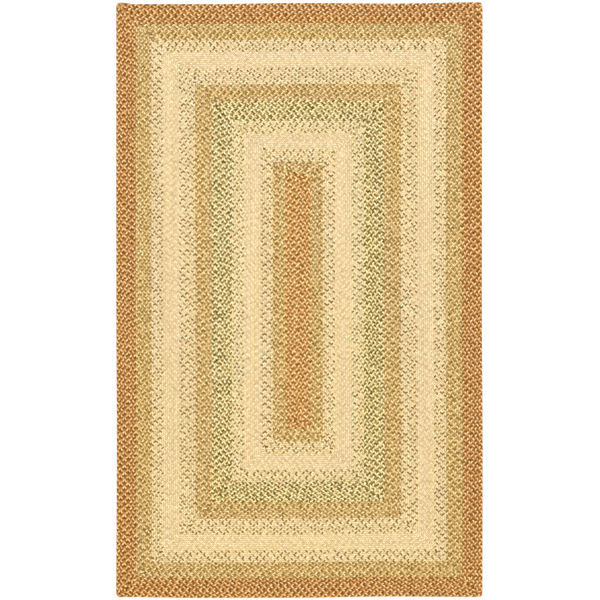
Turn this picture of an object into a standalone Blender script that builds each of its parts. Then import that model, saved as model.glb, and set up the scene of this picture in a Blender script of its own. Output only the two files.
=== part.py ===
"""Braided rug, 1.5 m by 2.5 m: one long flat three-strand braid, coiled clockwise from a
straight centre and laced edge to edge.

Each object is one length of the braid in its own colours.  Its rounds are fused into one
flat body with a rounded ridge for each round and a groove along each lacing seam.
Metres, +Z up, +Y along the length.  The rug lies flat on z = 0.
"""
import math

import bpy
import bmesh

# the braid and its coil
BRAID_PITCH = 0.0169        # width of one round of braid
CENTRE_RUN = 0.950          # straight start of the coil
CORNER_RADIUS = 0.014       # every seam turns its corners this tightly
THICKNESS = 0.009
SEAM_TOP = 0.0062           # height of the groove between two rounds, upper side
SEAM_BOTTOM = 0.0020        # the same on the underside
PIECE_GAP = 0.0003          # between two lengths of braid
TAIL_REACH = 0.025          # the braid's end is laid this far past its last corner
TAIL_RISE = 0.006           # thickness of the braid's end where it turns the last corner
TAIL_TIP = 0.0030
TAIL_TIP_FULLNESS = 0.5     # crest height left at the very tip

# cross-section of one round: (share of the way out, share of the crest's height)
CREST = ((0.20, 0.80), (0.50, 1.00), (0.80, 0.80))
UNDERSIDE_FLAT = (0.24, 0.76)

ARC_STEPS = 2               # facets in a corner
RUN_STOPS = (0.5, 0.0, -0.5)    # stations along a run, as shares of its half length

# outward bulge of each edge in metres, at five even stations
TOP_BULGE = (-0.0033, -0.0029, 0.0017, -0.0008, 0.0045)      # left to right
BOTTOM_BULGE = (-0.0008, 0.0029, 0.0020, -0.0029, -0.0012)   # left to right
LEFT_BULGE = (0.0013, -0.0012, 0.0010, 0.0015, 0.0013)       # bottom to top
RIGHT_BULGE = (0.0012, 0.0020, -0.0010, -0.0004, 0.0017)     # bottom to top

# how far the rounds inside lie off their even places: fully at the centre, not at the edge
CORE_SHIFT = (-0.0067, -0.0055)
CORE_SPREAD = (0.0136, 0.0097)  # outwards, growing with the place across and along the rug
CORE_TURN = 0.0019              # along the rug, growing with the place across it

# lengths of braid from the centre outwards: name, rounds, base colour
LENGTHS = (
    ("braid_01_rust_centre", 3, (0.62, 0.34, 0.12)),
    ("braid_02_olive_tan", 3, (0.64, 0.43, 0.17)),
    ("braid_03_flecked_cream", 3, (0.75, 0.58, 0.30)),
    ("braid_04_cream", 4, (0.87, 0.68, 0.37)),
    ("braid_05_green_flecked", 3, (0.75, 0.58, 0.30)),
    ("braid_06_green", 5, (0.59, 0.47, 0.21)),
    ("braid_07_tan_rust", 4, (0.62, 0.42, 0.16)),
    ("braid_08_flecked_cream", 4, (0.74, 0.57, 0.30)),
    ("braid_09_cream", 4, (0.87, 0.67, 0.36)),
    ("braid_10_flecked_cream", 3, (0.76, 0.58, 0.30)),
    ("braid_11_olive_tan", 4, (0.60, 0.40, 0.16)),
    ("braid_12_rust_border", 5, (0.53, 0.28, 0.10)),
)
ROUNDS = sum(rounds for _, rounds, _ in LENGTHS)
HALF_WIDTH = ROUNDS * BRAID_PITCH
HALF_LENGTH = CENTRE_RUN / 2 + HALF_WIDTH
STEPS = 4 * (len(RUN_STOPS) + ARC_STEPS + 1)    # stations in one turn of the coil
CHANGE = ARC_STEPS + 1      # the colour changes this many stations before a turn ends


def clear_scene():
    for item in list(bpy.data.objects):
        bpy.data.objects.remove(item, do_unlink=True)


def turn_seam(turn):
    """Stations on one clockwise turn of a seam, from just past its top left corner.

    Each station is (x, y, outward x, outward y).  The left run climbs one pitch past the
    top run, which is how the coil steps out to its next turn.
    """
    x = turn * BRAID_PITCH
    y = CENTRE_RUN / 2 + x
    radius = CORNER_RADIUS if turn else 0.0
    last_radius = CORNER_RADIUS if turn > 1 else 0.0
    rise = TAIL_RISE if turn == ROUNDS else BRAID_PITCH
    inner_x = max(turn - 1, 0) * BRAID_PITCH

    straight = x - radius
    start = -inner_x + last_radius + min(TAIL_REACH, inner_x)
    third = (straight - start) / 3
    top = [
        (start, y),
        (max(start + third, 0.0), y),
        (max(start + 2 * third, straight / 2), y),
    ]
    half = CENTRE_RUN / 2 + inner_x
    right = [(x, half * stop) for stop in RUN_STOPS]
    bottom = [(straight * stop, -y) for stop in RUN_STOPS]
    left = [(-x, half * stop) for stop in reversed(RUN_STOPS)]
    runs = (top, right, bottom, left)
    corners = ((x, y), (x, -y), (-x, -y), (-x, y + rise))

    stations = []
    for side, (run, corner) in enumerate(zip(runs, corners)):
        out_angle = math.pi / 2 * (1 - side)
        out_x, out_y = math.cos(out_angle), math.sin(out_angle)
        stations += [(px, py, out_x, out_y) for px, py in run]
        next_angle = out_angle - math.pi / 2
        centre_x = corner[0] - radius * (out_x + math.cos(next_angle))
        centre_y = corner[1] - radius * (out_y + math.sin(next_angle))
        for step in range(ARC_STEPS + 1):
            angle = out_angle - math.pi / 2 * step / ARC_STEPS
            nx, ny = math.cos(angle), math.sin(angle)
            stations.append((centre_x + radius * nx, centre_y + radius * ny, nx, ny))
    if turn == 0:
        # the last corner of the centre seam starts where the braid itself starts
        first_arc = STEPS - ARC_STEPS - 1
        stations[first_arc] = (0.0, y, -1.0, 0.0)
    return stations


def seam_stations():
    """The whole seam in one list; the last turn only holds the end of the tail."""
    stations = []
    for turn in range(ROUNDS + 1):
        stations += turn_seam(turn)
    tip_x, top_y = stations[ROUNDS * STEPS][:2]
    stations.append((tip_x, top_y + TAIL_TIP, 0.0, 1.0))
    return stations


def bulge(table, share):
    """Reads a table of five bulges at a share from -1 to 1 along an edge."""
    place = min(max((share + 1) * 2, 0.0), 3.999999)
    first = int(place)
    blend = (1 - math.cos(math.pi * (place - first))) / 2
    return table[first] * (1 - blend) + table[first + 1] * blend


def uneven(x, y):
    """Moves a point of the even coil to where the hand-laid, slightly wavy one has it."""
    across = x / HALF_WIDTH
    along = y / HALF_LENGTH
    side = RIGHT_BULGE if x > 0 else LEFT_BULGE
    end = TOP_BULGE if y > 0 else BOTTOM_BULGE
    out = min(max(abs(x), abs(y) - CENTRE_RUN / 2) / HALF_WIDTH, 1.0)
    slack = 1 - out ** 2
    core_x = CORE_SHIFT[0] + CORE_SPREAD[0] * across
    core_y = CORE_SHIFT[1] + CORE_SPREAD[1] * along + CORE_TURN * across
    return x + across * bulge(side, along) + slack * core_x, \
        y + along * bulge(end, across) + slack * core_y


class Length:
    """One colour's length of the braid, from one turn of the seam to another."""

    def __init__(self, seam, first_turn, last_turn):
        self.seam = seam
        self.is_first = first_turn == 0
        self.is_last = last_turn == ROUNDS
        self.start = first_turn * STEPS - (0 if self.is_first else CHANGE)
        self.end = last_turn * STEPS - (0 if self.is_last else CHANGE)
        self.points = []
        self.places = {}
        self.faces = {}

    def seam_xy(self, index):
        """A seam station, drawn back from the neighbouring lengths."""
        x, y, out_x, out_y = self.seam[index]
        back = 0.0
        slide = 0.0
        if not self.is_first and self.start <= index <= self.start + STEPS:
            back = PIECE_GAP / 2
            if index in (self.start, self.start + STEPS):
                slide = PIECE_GAP * math.sqrt(0.5)
        if not self.is_last and self.end <= index <= self.end + STEPS:
            back = -PIECE_GAP / 2
            if index in (self.end, self.end + STEPS):
                slide = -PIECE_GAP * math.sqrt(0.5)
        forward_x, forward_y = out_y, -out_x
        x += back * out_x + slide * forward_x
        y += back * out_y + slide * forward_y
        return uneven(x, y)

    def outer(self, index):
        """The seam station that lies outside this one, one round further out."""
        return min(index + STEPS, len(self.seam) - 1)

    def vertex(self, x, y, z):
        key = (round(x, 7), round(y, 7), round(z, 7))
        if key not in self.places:
            self.places[key] = len(self.points)
            self.points.append(key)
        return self.places[key]

    def face(self, *corners):
        """Adds a face.  Two faces back to back inside the rug cancel each other."""
        ring = [c for n, c in enumerate(corners) if c != corners[n - 1]]
        if len(set(ring)) < 3:
            return
        key = frozenset(ring)
        if key in self.faces:
            del self.faces[key]
        else:
            self.faces[key] = ring

    def section(self, index):
        """Upper and lower outlines of the round at one station, inner seam to outer."""
        inner_x, inner_y = self.seam_xy(index)
        outer_x, outer_y = self.seam_xy(self.outer(index))
        at_tip = index == ROUNDS * STEPS
        crest = (THICKNESS - SEAM_TOP) * (TAIL_TIP_FULLNESS if at_tip else 1.0)

        def across(share):
            return inner_x + (outer_x - inner_x) * share, inner_y + (outer_y - inner_y) * share

        upper = [self.vertex(inner_x, inner_y, SEAM_TOP)]
        for share, height in CREST:
            upper.append(self.vertex(*across(share), SEAM_TOP + crest * height))
        upper.append(self.vertex(outer_x, outer_y, SEAM_TOP))
        lower = [self.vertex(inner_x, inner_y, SEAM_BOTTOM)]
        for share in UNDERSIDE_FLAT:
            lower.append(self.vertex(*across(share), 0.0))
        lower.append(self.vertex(outer_x, outer_y, SEAM_BOTTOM))
        return upper, lower

    def wall(self, first, second):
        """An upright face between two seam stations."""
        ax, ay = self.seam_xy(first)
        bx, by = self.seam_xy(second)
        self.face(self.vertex(ax, ay, SEAM_TOP), self.vertex(bx, by, SEAM_TOP),
                  self.vertex(bx, by, SEAM_BOTTOM), self.vertex(ax, ay, SEAM_BOTTOM))

    def cap(self, section, facing_back):
        """Closes the cut end of a length in three faces, split at the seams' heights."""
        upper, lower = section
        rings = (upper, [upper[0], upper[-1], lower[-1], lower[0]], list(reversed(lower)))
        rings = [rings[0], list(reversed(rings[1])), rings[2]]
        for ring in rings:
            self.face(*(ring if not facing_back else reversed(ring)))

    def build(self):
        sections = {i: self.section(i) for i in range(self.start, self.end + 1)}
        for i in range(self.start, self.end):
            for near, far, flip in ((sections[i][0], sections[i + 1][0], False),
                                    (sections[i][1], sections[i + 1][1], True)):
                for k in range(len(near) - 1):
                    ring = (near[k], far[k], far[k + 1], near[k + 1])
                    self.face(*(reversed(ring) if flip else ring))
        for i in range(self.start, self.start + STEPS):
            self.wall(i, i + 1)
        for i in range(self.end - STEPS, self.end):
            self.wall(self.outer(i + 1), self.outer(i))
        self.cap(sections[self.start], facing_back=True)
        self.cap(sections[self.end], facing_back=False)
        return self.points, list(self.faces.values())


def yarn_material(name, colour):
    material = bpy.data.materials.new(name)
    material.use_nodes = True
    shader = material.node_tree.nodes["Principled BSDF"]
    shader.inputs["Base Color"].default_value = (*colour, 1.0)
    shader.inputs["Roughness"].default_value = 0.9
    shader.inputs["Metallic"].default_value = 0.0
    return material


def middle_of(shapes):
    """Centre of the box around all lengths, seen from above."""
    xs = [p[0] for points, _ in shapes for p in points]
    ys = [p[1] for points, _ in shapes for p in points]
    return (min(xs) + max(xs)) / 2, (min(ys) + max(ys)) / 2


def make_length(name, colour, shape, middle):
    points, faces = shape
    mesh = bpy.data.meshes.new(name)
    mesh.from_pydata([(x - middle[0], y - middle[1], z) for x, y, z in points], [], faces)
    shell = bmesh.new()
    shell.from_mesh(mesh)
    bmesh.ops.recalc_face_normals(shell, faces=shell.faces)
    shell.to_mesh(mesh)
    shell.free()
    mesh.materials.append(yarn_material(name, colour))
    mesh.shade_smooth()
    mesh.set_sharp_from_angle(angle=math.radians(60))
    item = bpy.data.objects.new(name, mesh)
    bpy.context.scene.collection.objects.link(item)
    return item


def make_rug():
    seam = seam_stations()
    shapes = []
    turn = 0
    for _, rounds, _ in LENGTHS:
        shapes.append(Length(seam, turn, turn + rounds).build())
        turn += rounds
    middle = middle_of(shapes)
    for (name, _, colour), shape in zip(LENGTHS, shapes):
        make_length(name, colour, shape, middle)


clear_scene()
make_rug()
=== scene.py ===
# Braided rug seen from above. The frame holds its twelve lengths of braid as plain ridged
# bodies. Here each one is braided from three strands, stitch by stitch, along the same coil.
import math

import bpy
import mathutils
import numpy as np
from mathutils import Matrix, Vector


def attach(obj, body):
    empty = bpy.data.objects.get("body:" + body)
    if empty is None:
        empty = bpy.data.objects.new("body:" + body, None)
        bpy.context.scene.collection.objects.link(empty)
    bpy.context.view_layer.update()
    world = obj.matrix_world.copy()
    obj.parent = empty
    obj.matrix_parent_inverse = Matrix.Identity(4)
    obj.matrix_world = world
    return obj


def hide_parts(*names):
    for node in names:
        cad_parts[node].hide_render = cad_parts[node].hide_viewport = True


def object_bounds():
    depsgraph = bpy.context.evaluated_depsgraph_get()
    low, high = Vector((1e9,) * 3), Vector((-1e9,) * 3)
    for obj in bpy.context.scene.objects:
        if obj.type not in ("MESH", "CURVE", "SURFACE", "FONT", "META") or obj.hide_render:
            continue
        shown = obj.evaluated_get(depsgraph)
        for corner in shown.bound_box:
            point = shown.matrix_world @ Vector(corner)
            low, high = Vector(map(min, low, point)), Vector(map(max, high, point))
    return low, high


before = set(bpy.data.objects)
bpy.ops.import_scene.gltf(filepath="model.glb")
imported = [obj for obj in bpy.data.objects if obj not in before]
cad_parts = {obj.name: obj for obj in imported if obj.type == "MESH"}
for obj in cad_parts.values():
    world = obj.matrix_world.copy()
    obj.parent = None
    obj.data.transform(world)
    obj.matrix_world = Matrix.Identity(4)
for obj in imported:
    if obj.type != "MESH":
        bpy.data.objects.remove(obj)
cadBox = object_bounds()
print("frame loaded:", len(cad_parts), "nodes")

# one braid, coiled clockwise from the centre, with the same sizes as the frame's bodies
coil = dict(
    pitch=0.0169,           # width of the braid
    centreRun=0.950,        # the straight start
    rounds=45,
    cornerRadius=0.014,
    cornerSamples=12,
    tailReach=0.025,        # the braid's end is laid this far past its last corner
    tailRise=0.006,         # and is this wide at the corner
    tailTip=0.0030,         # and at its tip
    tailEnd=0.003,          # the strands stop this far before the tip
    # outward bulge of each edge at even places, left to right or bottom to top
    topBulge=(-0.0033, -0.0029, 0.0017, -0.0008, 0.0045),
    bottomBulge=(-0.0008, 0.0029, 0.0020, -0.0029, -0.0012),
    leftBulge=(0.0013, -0.0012, 0.0010, 0.0015, 0.0013),
    rightBulge=(0.0012, 0.0020, -0.0010, -0.0004, 0.0017),
    # how far the rounds inside lie off their even places: fully at the centre, not at the edge
    coreShift=(-0.0067, -0.0055),
    coreSpread=(0.0136, 0.0097),
    coreTurn=0.0019,
    # the rug is centred by points on the outer seam of its last stretch of braid
    edgeLength=9.0,
    edgePoints=9001,
)
halfWidth = coil["rounds"] * coil["pitch"]
halfLength = coil["centreRun"] / 2 + halfWidth


def bulgeAt(bulges, share):
    # share runs from -1 to 1 along the edge, and each bulge turns smoothly into the next
    bulges = np.array(bulges)
    last = len(bulges) - 1
    place = np.clip((share + 1) / 2 * last, 0, last)
    first = np.minimum(place.astype(int), last - 1)
    blend = (1 - np.cos(np.pi * (place - first))) / 2
    return bulges[first] * (1 - blend) + bulges[first + 1] * blend


def uneven(x, y):
    # a place on the even coil, moved to where the braid really lies
    across, along = x / halfWidth, y / halfLength
    side = np.where(x > 0, bulgeAt(coil["rightBulge"], along), bulgeAt(coil["leftBulge"], along))
    end = np.where(y > 0, bulgeAt(coil["topBulge"], across), bulgeAt(coil["bottomBulge"], across))
    out = np.maximum(np.abs(x), np.abs(y) - coil["centreRun"] / 2) / halfWidth
    slack = 1 - np.clip(out, 0, 1) ** 2
    shiftX = coil["coreShift"][0] + coil["coreSpread"][0] * across
    shiftY = coil["coreShift"][1] + coil["coreSpread"][1] * along + coil["coreTurn"] * across
    return x + across * side + slack * shiftX, y + along * end + slack * shiftY


def cornerLine(start, corner, finish, radius, samples):
    # even samples along a straight, an arc of 90 degrees and a straight
    start, corner, finish = (np.array(p) for p in (start, corner, finish))
    lead, leave = np.linalg.norm(corner - start), np.linalg.norm(finish - corner)
    into = (corner - start) / lead if lead else np.zeros(2)
    out = (finish - corner) / leave if leave else np.zeros(2)
    parts = np.array([lead - radius, radius * math.pi / 2, leave - radius])
    points = []
    for spot in np.linspace(0, parts.sum(), samples):
        if spot <= parts[0]:
            points.append(start + into * spot)
        elif spot <= parts[0] + parts[1]:
            angle = (spot - parts[0]) / radius
            points.append(corner - into * radius + into * radius * math.sin(angle)
                          + out * radius * (1 - math.cos(angle)))
        else:
            points.append(corner + out * (radius + spot - parts[0] - parts[1]))
    return points


def coilRails():
    # inner and outer seam of the braid, as matching points along the whole coil
    pitch, run, samples = coil["pitch"], coil["centreRun"] / 2, coil["cornerSamples"]
    inner, outer = [(0.0, run)], [(0.0, run + pitch)]
    for turn in range(coil["rounds"]):
        x, y = turn * pitch, run + turn * pitch
        # the four corners clockwise from the top right: corner, way in, way out
        corners = [((x, y), (1, 0), (0, -1)), ((x, -y), (0, -1), (-1, 0)),
                   ((-x, -y), (-1, 0), (0, 1)), ((-x, y + pitch), (0, 1), (1, 0))]
        for number, (corner, into, out) in enumerate(corners, 1):
            corner, into, out = np.array(corner), np.array(into), np.array(out)
            isLast = turn == coil["rounds"] - 1 and number == len(corners)
            rise = coil["tailRise"] if isLast else pitch
            outerCorner = corner + into * rise - out * pitch
            # the first round folds sharply around the centre seam
            innerRadius = coil["cornerRadius"] if turn else 0.0
            innerStart, innerEnd = corner - into * innerRadius, corner + out * innerRadius
            if turn:
                inner += cornerLine(innerStart, corner, innerEnd, innerRadius, samples)
            else:
                inner += [corner] * samples
            outer += cornerLine(innerStart - out * pitch, outerCorner, innerEnd + into * rise,
                                coil["cornerRadius"], samples)
    # the tail, laid along the top edge and thinned to its tip
    tail = inner[-1] + np.array((coil["tailReach"], 0.0))
    inner.append(tail)
    outer.append(tail + np.array((0.0, coil["tailTip"])))
    inner, outer = np.array(inner, float), np.array(outer, float)
    middle = (inner + outer) / 2
    lengths = np.concatenate(([0.0], np.cumsum(np.linalg.norm(np.diff(middle, axis=0), axis=1))))
    return inner, outer, lengths


def onCoil(s, out):
    # place at length s, from the inner seam (out = -1) to the outer one (out = 1)
    share = (out + 1) / 2
    x = np.interp(s, railLength, innerRail[:, 0]) * (1 - share) \
        + np.interp(s, railLength, outerRail[:, 0]) * share
    y = np.interp(s, railLength, innerRail[:, 1]) * (1 - share) \
        + np.interp(s, railLength, outerRail[:, 1]) * share
    return uneven(x, y)


def spliceLength(turn):
    # length along the coil at which a turn's colour starts. A round has four corners, and the
    # colour changes in the last one, at the top left
    if turn == 0:
        return 0.0
    cornerStart = 1 + (4 * turn - 1) * coil["cornerSamples"]
    return railLength[cornerStart] + coil["cornerRadius"]


innerRail, outerRail, railLength = coilRails()
coilLength = railLength[-1]
edgeX, edgeY = onCoil(
    np.linspace(coilLength - coil["edgeLength"], coilLength, coil["edgePoints"]), 1.0)
centreX = (edgeX.min() + edgeX.max()) / 2
centreY = (edgeY.min() + edgeY.max()) / 2
print("coil of %.1f m of braid" % coilLength)

# Each line across the braid is a ring of points. Lines alternate: on one side it is the
# crest of a stitch, on the other the groove between two stitches.
stitch = dict(
    repeat=0.0285,          # one strand comes back to the same edge after this length
    slant=0.0057,           # how much further along a stitch lies at the edge
    interlock=0.34,         # how far a stitch reaches over the braid's middle
    middleTop=0.0075,       # height of the braid's middle, on top and underneath
    middleBottom=0.0013,
    # from the middle to the edge and under: share of the half width, and height
    crest=((0.52, 0.0090), (0.78, 0.0086), (1.00, 0.0077), (0.70, 0.0)),
    groove=((0.52, 0.0076), (0.78, 0.0074), (0.98, 0.0068), (0.68, 0.0017)),
    # the rug's border also has a point halfway down its edge
    borderCrest=((0.52, 0.0090), (0.78, 0.0085), (0.97, 0.0071), (1.00, 0.0038),
                 (0.70, 0.0)),
    borderGroove=((0.52, 0.0076), (0.78, 0.0073), (0.94, 0.0061), (0.95, 0.0038),
                  (0.68, 0.0017)),
    lacedPoint=3,           # which of these points lies along the lacing
    jitter=0.00035,         # uneven heights on top
    wanders=((0.009, 0.45), (0.003, 0.11)),     # stitches stray so far, over such a length
    wanderSeed=5,
    splicePull=0.00015,     # half the gap between one length of braid and the next
    tailDrop=0.2,           # how much thinner the braid's end gets
    tailTaper=0.05,         # over this length
    numberCycle=997,        # stitches are numbered up to here, then from 0 again
    mapGap=0.002,           # between two rows of the flat map
)
step = stitch["repeat"] / 6     # three strands cross to both sides in one repeat

# colours as they look in the picture, 0 to 255
dyeing = dict(
    patch=0.010,            # length of one dyed patch of yarn
    # each dye lot is a little lighter, darker, yellower or bluer than the next
    lots=((-4, -4, -4), (0, 0, 0), (4, 4, 4), (1, 0, -4), (-1, 0, 4)),
    lotLength=0.5,
    darkest=5,
    lightLevel=np.array((1.083, 1.068, 1.040)),
)


def eased(values, place):
    # value at each place along evenly spaced values, each running smoothly into the next
    first = place.astype(int)
    blend = place - first
    blend = blend * blend * (3 - 2 * blend)
    if values.ndim > 1:
        blend = blend[:, None]
    return values[first] * (1 - blend) + values[first + 1] * blend


def lineLength(lines):
    # place of each line along the coil; the braid is pulled a little tighter here and there
    random = np.random.RandomState(stitch["wanderSeed"])
    place = lines * step
    for reach, patch in stitch["wanders"]:
        pulls = random.uniform(-reach, reach, int(coilLength / patch) + 4)
        place = place + eased(pulls, place / patch)
    return place


def ringShape(lines, crest, groove, random):
    # out, lean and height of each line's points: middle, outer side, bottom, inner side
    crest, groove = np.array(crest), np.array(groove)
    count, points = len(lines), 2 * len(crest) + 2
    crestOuter = (lines % 2 == 0)[:, None]
    middle = np.where(crestOuter, -stitch["interlock"], stitch["interlock"])
    outerSide = np.where(crestOuter, crest[:, 0], groove[:, 0])
    innerSide = np.where(crestOuter, groove[:, 0], crest[:, 0])
    outerHeight = np.where(crestOuter, crest[:, 1], groove[:, 1])
    innerHeight = np.where(crestOuter, groove[:, 1], crest[:, 1])
    middleTop = np.full((count, 1), stitch["middleTop"])
    middleBottom = np.full((count, 1), stitch["middleBottom"])
    out = np.hstack([middle, outerSide, middle, -innerSide[:, ::-1]])
    height = np.hstack([middleTop, outerHeight, middleBottom, innerHeight[:, ::-1]])
    # the three points underneath: the last of each side, and the middle
    under = np.abs(np.arange(points) - points // 2) <= 1
    height[:, ~under] += random.uniform(-1, 1, (count, np.sum(~under))) * stitch["jitter"]
    # a stitch leans forward to the edge above, and goes on forward below
    lean = (np.abs(out) - stitch["interlock"]) / (1 - stitch["interlock"]) * stitch["slant"]
    lean[:, under] = 2 * stitch["slant"] - lean[:, under]
    return out, lean, height


def braidLines(band, firstTurn, crest, groove, isBorder, random):
    # the lines that a length of braid spans, and the place along it and in space of each point
    firstLine = int(round(spliceLength(firstTurn) / step))
    if isBorder:
        lastLine = int((coilLength - 2 * stitch["slant"] - coil["tailEnd"]) / step)
    else:
        lastLine = int(round(spliceLength(firstTurn + band["rounds"]) / step))
    lines = np.arange(firstLine, lastLine + 1)
    out, lean, height = ringShape(lines, crest, groove, random)
    s = lineLength(lines)[:, None] + lean
    s[0] += stitch["splicePull"]
    s[-1] -= stitch["splicePull"]
    taper = np.clip((s - coilLength) / stitch["tailTaper"] + 1, 0, 1)
    height *= 1 - stitch["tailDrop"] * taper
    x, y = onCoil(s, out)
    return lines, s, np.stack([x - centreX, y - centreY, height], axis=-1)


def skinMesh(name, points):
    # closed skin over the rings of points, with a flat face at both ends
    rows, ring = points.shape[0] - 1, points.shape[1]
    row, slot = np.divmod(np.arange(rows * ring), ring)
    nextSlot = (slot + 1) % ring
    near, far = row * ring, (row + 1) * ring
    # forward, then around the braid: the outside of each face
    quads = np.stack([near + slot, far + slot, far + nextSlot, near + nextSlot], axis=-1)
    startCap = np.arange(ring)[::-1]
    endCap = np.arange(ring) + rows * ring
    loops = np.concatenate([quads.ravel(), startCap, endCap])
    sizes = np.concatenate([np.full(len(quads), 4), [ring, ring]])
    starts = np.concatenate([[0], np.cumsum(sizes)[:-1]])

    mesh = bpy.data.meshes.new(name)
    mesh.vertices.add((rows + 1) * ring)
    mesh.vertices.foreach_set("co", points.ravel())
    mesh.loops.add(len(loops))
    mesh.loops.foreach_set("vertex_index", loops)
    mesh.polygons.add(len(sizes))
    mesh.polygons.foreach_set("loop_start", starts)
    mesh.update(calc_edges=True)
    mesh.polygons.foreach_set("use_smooth", np.ones(len(sizes), bool))
    return mesh


def markCreases(mesh, lines, ring, isBorder):
    # grooves, the braid's middle and its laced edges stay crisp, the stitches are rounded
    bottom, laced = ring // 2, stitch["lacedPoint"]
    ends = np.empty(len(mesh.edges) * 2, int)
    mesh.edges.foreach_get("vertices", ends)
    line, spot = np.divmod(ends.reshape(-1, 2), ring)
    across = line[:, 0] == line[:, 1]
    closing = np.abs(spot[:, 0] - spot[:, 1]) == ring - 1
    low = np.where(closing, ring - 1, spot.min(axis=1))
    lineIsEven = lines[line[:, 0]] % 2 == 0
    isGroove = across & ((low < bottom) ^ lineIsEven)
    isMiddle = ~across & ((low == 0) | (low == bottom))
    isLaced = ~across & ((low == laced) | (low == ring - laced))
    if isBorder:
        # the outer side of the last round is laced to nothing
        isFree = lines[line[:, 0]] * step > spliceLength(coil["rounds"] - 1)
        isLaced &= ~(isFree & (low == laced))
    crisp = mesh.attributes.new("sharp_edge", "BOOLEAN", "EDGE")
    crisp.data.foreach_set("value", isGroove | isMiddle | isLaced)


def faceStitches(lines, ring):
    # row and slot around the ring of each face, and the stitch whose crest is on its lines
    row, slot = np.divmod(np.arange((len(lines) - 1) * ring), ring)
    line = lines[row]
    onOuter = slot < ring // 2
    return row, slot, np.where((line % 2 == 0) == onOuter, line, line + 1)


def linear(colours):
    # linear colours, with the light's level taken off
    c = np.clip(colours, dyeing["darkest"], 255) / 255
    c = np.where(c <= 0.04045, c / 12.92, ((c + 0.055) / 1.055) ** 2.4)
    return np.clip(c / dyeing["lightLevel"], 0.0, 1.0)


def alongStrand(s, dyes, patch, random):
    # space-dyed yarn: its patches take the dyes in turn, shuffled anew each time around
    dyes = np.array(dyes, float)
    rounds = int(coilLength / patch / len(dyes)) + 4
    order = np.argsort(random.uniform(size=(rounds, len(dyes))), axis=1).ravel()
    return eased(dyes[order], s / patch)


def stitchColours(band, stitches, random):
    # two colours for each stitch, from the strand it belongs to: the yarn and one odd ply
    s = stitches * step
    yarn = np.empty((len(stitches), 3))
    ply = np.empty((len(stitches), 3))
    for number, strand in enumerate(band["strands"]):
        here = stitches % 3 == number
        yarn[here] = alongStrand(s[here], strand["dyes"], dyeing["patch"], random)
        if "tail" in band:
            yarn[here & (s > coilLength - band["tailLength"])] = band["tail"][number]
        ply[here] = alongStrand(s[here], strand["plyDyes"], dyeing["patch"], random)
    lot = alongStrand(s, dyeing["lots"], dyeing["lotLength"], random)
    lot = lot + random.normal(0, band["uneven"], (len(stitches), 1))
    return linear(yarn + lot), linear(ply + lot)


def dyeFaces(mesh, band, lines, owner, random):
    # each face takes its stitch's two colours, and an end face those of the face beside it
    stitches = np.append(lines, lines[-1] + 1)
    both = stitchColours(band, stitches, random)
    for layer, colours in zip(("strandColour", "plyColour"), both):
        colours = colours[owner - lines[0]]
        colours = np.concatenate([colours, colours[[0, -1]]])
        dye = mesh.attributes.new(layer, "FLOAT_COLOR", "FACE")
        alpha = np.ones(len(colours))
        dye.data.foreach_set("color", np.column_stack([colours, alpha]).ravel())
    # its number moves the fibre noise from one stitch to the next
    tag = mesh.attributes.new("stitchNumber", "FLOAT", "FACE")
    number = np.append(owner, [0, 0]) % stitch["numberCycle"]
    tag.data.foreach_set("value", number.astype(np.float32))


def addMap(mesh, name, across, along, ring):
    # a place for each corner of the faces; both end faces lie at the map's origin
    layer = mesh.uv_layers.new(name=name)
    places = np.stack([across, along], axis=-1)
    layer.data.foreach_set("uv", np.append(places, np.zeros(4 * ring)))


def mapStitches(mesh, crest, lines, ring):
    # across each stitch from groove to groove, -1 to 1, and along it from the middle: a share
    # of the half width on top, and from 1.5 to 2 underneath
    row, slot, owner = faceStitches(lines, ring)
    faceLine = lines[row][:, None] + np.array([0, 1, 1, 0])
    faceSlot = slot[:, None] + np.array([0, 0, 1, 1])
    aside = (faceLine - owner[:, None]).astype(float)
    halfReach = [0.0] + [place for place, _ in crest[:-1]] + [1.5, 2.0]
    reach = np.array(halfReach + halfReach[-2::-1])
    along = reach[faceSlot]
    atMiddle = (faceSlot == 0) | (faceSlot == ring)
    along = np.where(atMiddle, np.where(aside == 0, -1, 1) * stitch["interlock"], along)
    # a stitch's inner tip lies forward of its crest, under the next stitch across
    aside = np.where(atMiddle & (aside == 0), 1.0, aside)
    addMap(mesh, "stitch", aside, along, ring)


def mapFlat(mesh, crest, lines, s, ring):
    # the braid unrolled and laid in rows, for baking
    row, slot, _ = faceStitches(lines, ring)
    nextSlot = (slot + 1) % ring
    profile = [(0, stitch["middleTop"]), *crest, (0, stitch["middleBottom"])]
    profile = np.array(profile) * (coil["pitch"] / 2, 1)
    girth = np.append(0, np.cumsum(np.linalg.norm(np.diff(profile, axis=0), axis=1)))
    half = girth[-1]
    startV = np.concatenate([half + girth[:-1], half - girth[:0:-1]])
    endV = np.append(startV[1:], half)
    endV[len(crest)] = 2 * half
    rowHeight = 2 * half + stitch["mapGap"]
    perRow = int(math.sqrt((len(lines) - 1) * step * rowHeight) / step)
    mapRow = row // perRow
    places = np.stack([s[row, slot], s[row + 1, slot], s[row + 1, nextSlot],
                       s[row, nextSlot]], axis=-1)
    flatU = places - ((lines[0] + mapRow * perRow) * step)[:, None]
    flatV = np.stack([startV[slot], startV[slot], endV[slot], endV[slot]], axis=-1)
    flatV = flatV + (mapRow * rowHeight)[:, None]
    span = max(flatU.max(), flatV.max())
    addMap(mesh, "OFBake", flatU / span, flatV / span, ring)


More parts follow.
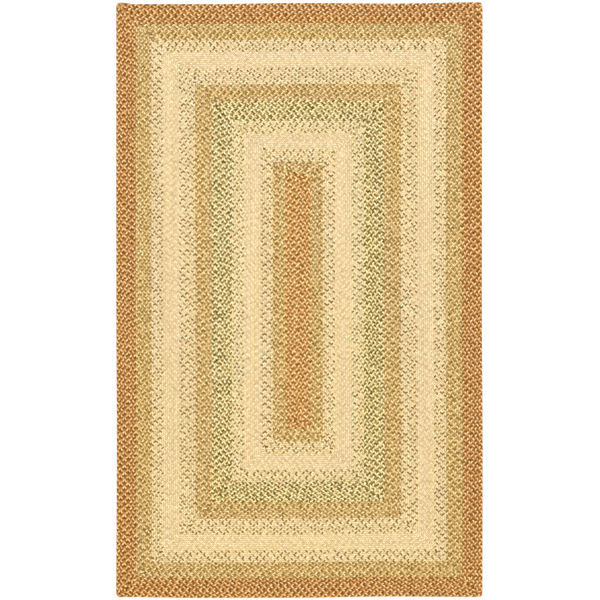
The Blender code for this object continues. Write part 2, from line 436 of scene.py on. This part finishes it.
def makeBraid(band, firstTurn, material):
    random = np.random.RandomState(band["seed"])
    isBorder = firstTurn + band["rounds"] == coil["rounds"]
    crest = stitch["borderCrest"] if isBorder else stitch["crest"]
    groove = stitch["borderGroove"] if isBorder else stitch["groove"]
    lines, s, points = braidLines(band, firstTurn, crest, groove, isBorder, random)
    ring = points.shape[1]
    mesh = skinMesh(band["name"], points)
    markCreases(mesh, lines, ring, isBorder)
    dyeFaces(mesh, band, lines, faceStitches(lines, ring)[2], random)
    mapStitches(mesh, crest, lines, ring)
    mapFlat(mesh, crest, lines, s, ring)
    mesh.uv_layers.active = mesh.uv_layers["stitch"]
    mesh.materials.append(material)
    mesh.validate(verbose=False)
    piece = bpy.data.objects.new(band["name"], mesh)
    bpy.context.scene.collection.objects.link(piece)
    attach(piece, "root")
    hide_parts(band["node"])
    return piece


# three strands for each kind of braid: dyes of the main yarns and of the odd plies
rustStrands = (
    dict(dyes=((255, 223, 169), (254, 214, 157)), plyDyes=((231, 183, 120), (218, 166, 103))),
    dict(dyes=((144, 80, 27), (134, 80, 25)), plyDyes=((175, 109, 51), (161, 96, 41))),
    dict(dyes=((204, 148, 85), (188, 134, 73)), plyDyes=((130, 90, 35), (228, 178, 113))),
)
rustCentreStrands = (
    dict(dyes=((253, 228, 171), (253, 219, 161)), plyDyes=((240, 195, 130), (227, 180, 116))),
    dict(dyes=((156, 90, 35), (144, 90, 29)), plyDyes=((187, 123, 62), (171, 107, 48))),
    dict(dyes=((213, 162, 97), (197, 147, 84)), plyDyes=((145, 105, 43), (235, 188, 123))),
)
oliveTanStrands = (
    dict(dyes=((254, 229, 177), (252, 221, 163)), plyDyes=((213, 181, 119), (237, 205, 145))),
    dict(dyes=((135, 102, 40), (153, 122, 60)), plyDyes=((205, 172, 110), (183, 145, 83))),
    dict(dyes=((230, 198, 137), (213, 181, 119)), plyDyes=((148, 115, 52), (173, 142, 80))),
)
tanRustStrands = (
    dict(dyes=((255, 231, 177), (252, 222, 164)), plyDyes=((214, 183, 123), (238, 207, 148))),
    dict(dyes=((134, 104, 42), (153, 122, 61)), plyDyes=((206, 174, 114), (186, 139, 80))),
    dict(dyes=((231, 200, 141), (213, 182, 122)), plyDyes=((149, 118, 57), (173, 137, 77))),
)
darkFlecks = ((102, 76, 5), (108, 82, 6), (130, 103, 28), (158, 132, 64), (200, 174, 116),
              (242, 220, 172))
greenFlecks = ((96, 78, 5), (104, 86, 6), (128, 109, 34), (156, 136, 68), (198, 178, 119),
               (242, 221, 172))
fleckedStrands = (
    dict(dyes=((252, 230, 189), (248, 226, 183), (253, 232, 199)),
         plyDyes=((252, 232, 194), (243, 221, 176))),
    dict(dyes=((243, 219, 173), (238, 213, 167), (230, 206, 156), (218, 193, 142)),
         plyDyes=((246, 224, 179), (230, 206, 157))),
    dict(dyes=((222, 196, 144), (210, 182, 129), (231, 206, 156)), plyDyes=darkFlecks),
)
greenFleckedStrands = (
    dict(dyes=((252, 231, 189), (248, 227, 183), (253, 234, 199)),
         plyDyes=((252, 234, 195), (243, 222, 176))),
    dict(dyes=((243, 221, 175), (237, 214, 168), (228, 208, 159), (213, 193, 143)),
         plyDyes=((246, 225, 179), (230, 208, 158))),
    dict(dyes=((220, 196, 144), (206, 181, 129), (230, 208, 157)), plyDyes=greenFlecks),
)
creamStrands = (
    dict(dyes=((255, 236, 199), (252, 229, 189)), plyDyes=((246, 221, 175), (251, 228, 191))),
    dict(dyes=((233, 209, 164), (240, 215, 171)), plyDyes=((212, 188, 137), (245, 221, 176))),
    dict(dyes=((222, 198, 148), (234, 209, 161)), plyDyes=((249, 226, 183), (209, 186, 133))),
)
greenStrands = (
    dict(dyes=((255, 250, 204), (255, 244, 194)), plyDyes=((253, 229, 170), (231, 207, 148))),
    dict(dyes=((100, 82, 19), (110, 90, 25)), plyDyes=((161, 137, 69), (189, 165, 101))),
    dict(dyes=((230, 206, 146), (249, 225, 166)), plyDyes=((133, 109, 42), (119, 99, 32))),
)

# the twelve lengths from the centre outwards; uneven is the spread between stitches, and the
# braid's end has its strands in colours of its own
bands = (
    dict(name="rustCentre", node="braid_01_rust_centre", rounds=3, slot="rust_yarn",
         strands=rustCentreStrands, uneven=6, seed=11),
    dict(name="oliveTanInner", node="braid_02_olive_tan", rounds=3, slot="olive_tan_yarn",
         strands=oliveTanStrands, uneven=6, seed=12),
    dict(name="fleckedInner", node="braid_03_flecked_cream", rounds=3,
         slot="flecked_cream_yarn", strands=fleckedStrands, uneven=6, seed=13),
    dict(name="creamInner", node="braid_04_cream", rounds=4, slot="cream_yarn",
         strands=creamStrands, uneven=4, seed=14),
    dict(name="greenFlecked", node="braid_05_green_flecked", rounds=3,
         slot="green_flecked_yarn", strands=greenFleckedStrands, uneven=6, seed=15),
    dict(name="green", node="braid_06_green", rounds=5, slot="green_yarn",
         strands=greenStrands, uneven=6, seed=16),
    dict(name="tanRust", node="braid_07_tan_rust", rounds=4, slot="tan_rust_yarn",
         strands=tanRustStrands, uneven=6, seed=17),
    dict(name="fleckedMiddle", node="braid_08_flecked_cream", rounds=4,
         slot="flecked_cream_yarn", strands=fleckedStrands, uneven=6, seed=18),
    dict(name="creamOuter", node="braid_09_cream", rounds=4, slot="cream_yarn",
         strands=creamStrands, uneven=4, seed=19),
    dict(name="fleckedOuter", node="braid_10_flecked_cream", rounds=3,
         slot="flecked_cream_yarn", strands=fleckedStrands, uneven=6, seed=20),
    dict(name="oliveTanOuter", node="braid_11_olive_tan", rounds=4, slot="olive_tan_yarn",
         strands=oliveTanStrands, uneven=6, seed=21),
    dict(name="rustBorder", node="braid_12_rust_border", rounds=5, slot="rust_yarn",
         strands=rustStrands, uneven=6, seed=22, tailLength=0.11,
         tail=((232, 200, 140), (150, 108, 52), (190, 152, 90))),
)

yarnLook = dict(
    fibres=6.0,             # fibre streaks across a stitch
    yarns=8,                # yarns side by side in one strand
    streak=0.12,
    # painted shade between the yarns and painted light along them
    yarnLineShade=0.08,
    heather=0.4,            # share of the second dye in heathered yarns
    heatherCells=(0.25, 1.0, 5.3),
    heatherEdge=0.02,
    stagger=0.5,
    feather=0.6,
    plyWind=0.5,            # slant, half width and edges of a single odd ply
    plyWidth=0.60,
    plyRagged=0.35,
    plyEdge=0.08,
    leafMiddle=0.52,        # the stitch's middle, half length and half width on its map
    leafLength=0.64,
    leafWidth=0.98,
    # painted shade around each stitch: where it starts, where it is full, and its warm colour
    leafCore=0.5,
    leafEdge=1.2,
    gapShade=(0.62, 0.52, 0.38),
    roughness=(0.82, 0.98),
    yarnRelief=0.6,
    bump=0.6,
    bumpDepth=0.0008,
    sheen=0.05,
)
fleckedLook = dict(yarnLook, heather=0.0)


def addNode(tree, kind, inputs, **settings):
    node = tree.nodes.new("ShaderNode" + kind)
    for name, value in settings.items():
        setattr(node, name, value)
    for name, value in inputs.items():
        if isinstance(value, bpy.types.NodeSocket):
            tree.links.new(value, node.inputs[name])
        else:
            node.inputs[name].default_value = value
    return node


def calculate(tree, operation, *values):
    return addNode(tree, "Math", dict(enumerate(values)), operation=operation).outputs["Value"]


def heatherShare(tree, look, x, y, number, fibre):
    # heathered yarns: patches of the second dye that start and end yarn by yarn
    yarnNumber = calculate(tree, "MULTIPLY", x, look["yarns"] / 2)
    yarnNumber = calculate(tree, "FLOOR", yarnNumber)
    yarnSeed = addNode(tree, "CombineXYZ", {"X": yarnNumber, "Y": number})
    stagger = addNode(tree, "TexWhiteNoise", {"Vector": yarnSeed.outputs["Vector"]})
    start = calculate(tree, "MULTIPLY_ADD", stagger.outputs["Value"], look["stagger"], y)
    start = calculate(tree, "MULTIPLY_ADD", fibre, look["feather"], start)
    yarnPlace = addNode(tree, "CombineXYZ", {"X": yarnNumber, "Y": start, "Z": number})
    squeezed = addNode(tree, "VectorMath", {0: yarnPlace.outputs["Vector"],
                                            1: look["heatherCells"]}, operation="MULTIPLY")
    cells = addNode(tree, "TexVoronoi", {"Vector": squeezed.outputs["Vector"], "Scale": 1.0})
    return addNode(tree, "MapRange", {
        "Value": cells.outputs["Color"], "From Min": look["heather"] + look["heatherEdge"],
        "From Max": look["heather"] - look["heatherEdge"]}).outputs["Result"]


def oddPlyShare(tree, look, x, y, fibre, yarns):
    # one odd ply winds along the middle of the stitch, its edges broken by the fibres
    aside = calculate(tree, "MULTIPLY_ADD", y, look["plyWind"], x)
    aside = calculate(tree, "SUBTRACT", aside, look["plyWind"] * look["leafMiddle"])
    aside = calculate(tree, "ABSOLUTE", aside)
    broken = calculate(tree, "ADD", fibre, yarns)
    ragged = calculate(tree, "MULTIPLY_ADD", broken, look["plyRagged"], aside)
    edge = look["plyWidth"] + look["plyRagged"]
    return addNode(tree, "MapRange", {
        "Value": ragged, "From Min": edge + look["plyEdge"], "From Max": edge - look["plyEdge"]},
        interpolation_type="SMOOTHSTEP").outputs["Result"]


def yarnMaterial(name, look):
    material = bpy.data.materials.new(name)
    material.use_nodes = True
    tree = material.node_tree
    shader = tree.nodes["Principled BSDF"]

    # on the stitch map, x runs across the stitch and y along it from the braid's middle
    place = addNode(tree, "UVMap", {}, uv_map="stitch").outputs["UV"]
    split = addNode(tree, "SeparateXYZ", {"Vector": place})
    x, y = split.outputs["X"], split.outputs["Y"]
    number = addNode(tree, "Attribute", {}, attribute_name="stitchNumber").outputs["Fac"]
    local = addNode(tree, "CombineXYZ", {"X": x, "Y": y, "Z": number}).outputs["Vector"]

    # fibres and yarns run along the stitch, so both patterns are squeezed across it
    stretched = addNode(tree, "Mapping", {"Vector": local, "Scale": (look["fibres"], 1.3, 1.7)})
    fibre = addNode(tree, "TexNoise", {
        "Vector": stretched.outputs["Vector"], "Scale": 1.0, "Detail": 4.0, "Roughness": 0.65,
        "Distortion": 0.4}).outputs["Fac"]
    yarns = addNode(tree, "TexWave", {
        "Vector": local, "Scale": look["yarns"] * math.pi / 20, "Distortion": 1.5,
        "Detail": 1.0, "Detail Scale": 0.8}, bands_direction="X").outputs["Fac"]

    # the yarn's dye and the second one
    if look["heather"]:
        share = heatherShare(tree, look, x, y, number, fibre)
    else:
        share = oddPlyShare(tree, look, x, y, fibre, yarns)
    strandColour = addNode(tree, "Attribute", {}, attribute_name="strandColour")
    plyColour = addNode(tree, "Attribute", {}, attribute_name="plyColour")
    dye = addNode(tree, "Mix", {
        "Factor": share, "A": strandColour.outputs["Color"], "B": plyColour.outputs["Color"]},
        data_type="RGBA")

    # streaks between fibres; painted shade in the dark lines between yarns and painted light
    # along their middles
    tint = dye.outputs["Result"]
    for source, low, high, spread in ((fibre, 0.3, 0.7, look["streak"]),
                                      (yarns, 0.0, 1.0, look["yarnLineShade"])):
        level = addNode(tree, "MapRange", {"Value": source, "From Min": low, "From Max": high,
                                           "To Min": 1 - spread, "To Max": 1 + spread})
        tint = addNode(tree, "VectorMath", {0: tint, "Scale": level.outputs["Result"]},
                       operation="SCALE").outputs["Vector"]

    # a stitch is leaf-shaped: painted shade, tinted warm, darkens the colour around it where the
    # strands dive
    centred = addNode(tree, "Mapping", {
        "Vector": place, "Location": (0, -look["leafMiddle"] / look["leafLength"], 0),
        "Scale": (1 / look["leafWidth"], 1 / look["leafLength"], 0)})
    away = addNode(tree, "VectorMath", {0: centred.outputs["Vector"]}, operation="LENGTH")
    shadeMask = addNode(tree, "MapRange", {
        "Value": away.outputs["Value"], "From Min": look["leafCore"],
        "From Max": look["leafEdge"]}, interpolation_type="SMOOTHSTEP")
    shade = addNode(tree, "Mix", {
        "Factor": shadeMask.outputs["Result"], "A": tint, "B": (*look["gapShade"], 1)},
        data_type="RGBA", blend_type="MULTIPLY")

    low, high = look["roughness"]
    rough = addNode(tree, "MapRange", {"Value": fibre, "To Min": low, "To Max": high})
    relief = calculate(tree, "MULTIPLY_ADD", yarns, look["yarnRelief"], fibre)
    bump = addNode(tree, "Bump", {"Strength": look["bump"], "Distance": look["bumpDepth"],
                                  "Height": relief})
    tree.links.new(shade.outputs["Result"], shader.inputs["Base Color"])
    tree.links.new(rough.outputs["Result"], shader.inputs["Roughness"])
    tree.links.new(bump.outputs["Normal"], shader.inputs["Normal"])
    shader.inputs["Metallic"].default_value = 0.0
    shader.inputs["Specular IOR Level"].default_value = 0.1
    shader.inputs["Sheen Weight"].default_value = look["sheen"]
    shader.inputs["Sheen Roughness"].default_value = 0.5
    return material


materials = {}
roundsBuilt = 0
faces = 0
for band in bands:
    if band["slot"] not in materials:
        look = fleckedLook if "flecked" in band["slot"] else yarnLook
        materials[band["slot"]] = yarnMaterial(band["slot"], look)
    piece = makeBraid(band, roundsBuilt, materials[band["slot"]])
    roundsBuilt += band["rounds"]
    faces += len(piece.data.polygons)
print("braid:", faces, "faces in", len(bands), "lengths")

# a white floor under soft light, with the key light beyond the rug's far end
studio = dict(
    floor=9.0,
    floorDrop=0.0003,
    floorColour=(0.95, 0.95, 0.95, 1),
    sky=0.90,
    key=130.0,
    keySize=3.5,
    keyPlace=(-0.1, 2.0, 4.4),
    keyColour=(0.92, 0.94, 1.0),
    # a warm, low fill past the rug's near end
    fill=25.0,
    fillSize=2.0,
    fillPlace=(0.0, -2.4, 2.6),
    fillColour=(1.0, 0.80, 0.12),
)
bpy.ops.mesh.primitive_plane_add(size=studio["floor"], location=(0, 0, -studio["floorDrop"]))
floor = bpy.context.object
floor.name = "floor"
paint = bpy.data.materials.new("floorWhite")
paint.use_nodes = True
paintShader = paint.node_tree.nodes["Principled BSDF"]
paintShader.inputs["Base Color"].default_value = studio["floorColour"]
paintShader.inputs["Roughness"].default_value = 0.95
paintShader.inputs["Specular IOR Level"].default_value = 0.0
floor.data.materials.append(paint)

world = bpy.data.worlds.new("studio")
bpy.context.scene.world = world
world.use_nodes = True
background = world.node_tree.nodes["Background"]
background.inputs["Color"].default_value = (1, 1, 1, 1)
background.inputs["Strength"].default_value = studio["sky"]

for name in ("key", "fill"):
    place = studio[name + "Place"]
    bpy.ops.object.light_add(type="AREA", location=place)
    lamp = bpy.context.object
    lamp.name = name + "Light"
    lamp.data.energy = studio[name]
    lamp.data.size = studio[name + "Size"]
    lamp.data.color = studio[name + "Colour"]
    lamp.rotation_euler = (-mathutils.Vector(place)).to_track_quat("-Z", "Y").to_euler()

# straight down; width is what the picture spans at the height of the rug's top
view = dict(width=2.495, lens=85.0, sensor=36.0, offset=0.0025)
distance = view["width"] * view["lens"] / view["sensor"]
bpy.ops.object.camera_add(location=(view["offset"], 0, cadBox[1][2] + distance))
camera = bpy.context.object
camera.data.lens = view["lens"]
camera.data.sensor_width = view["sensor"]
camera.data.dof.use_dof = False
bpy.context.scene.camera = camera
bpy.context.scene.view_settings.view_transform = "Standard"
print("studio ready")
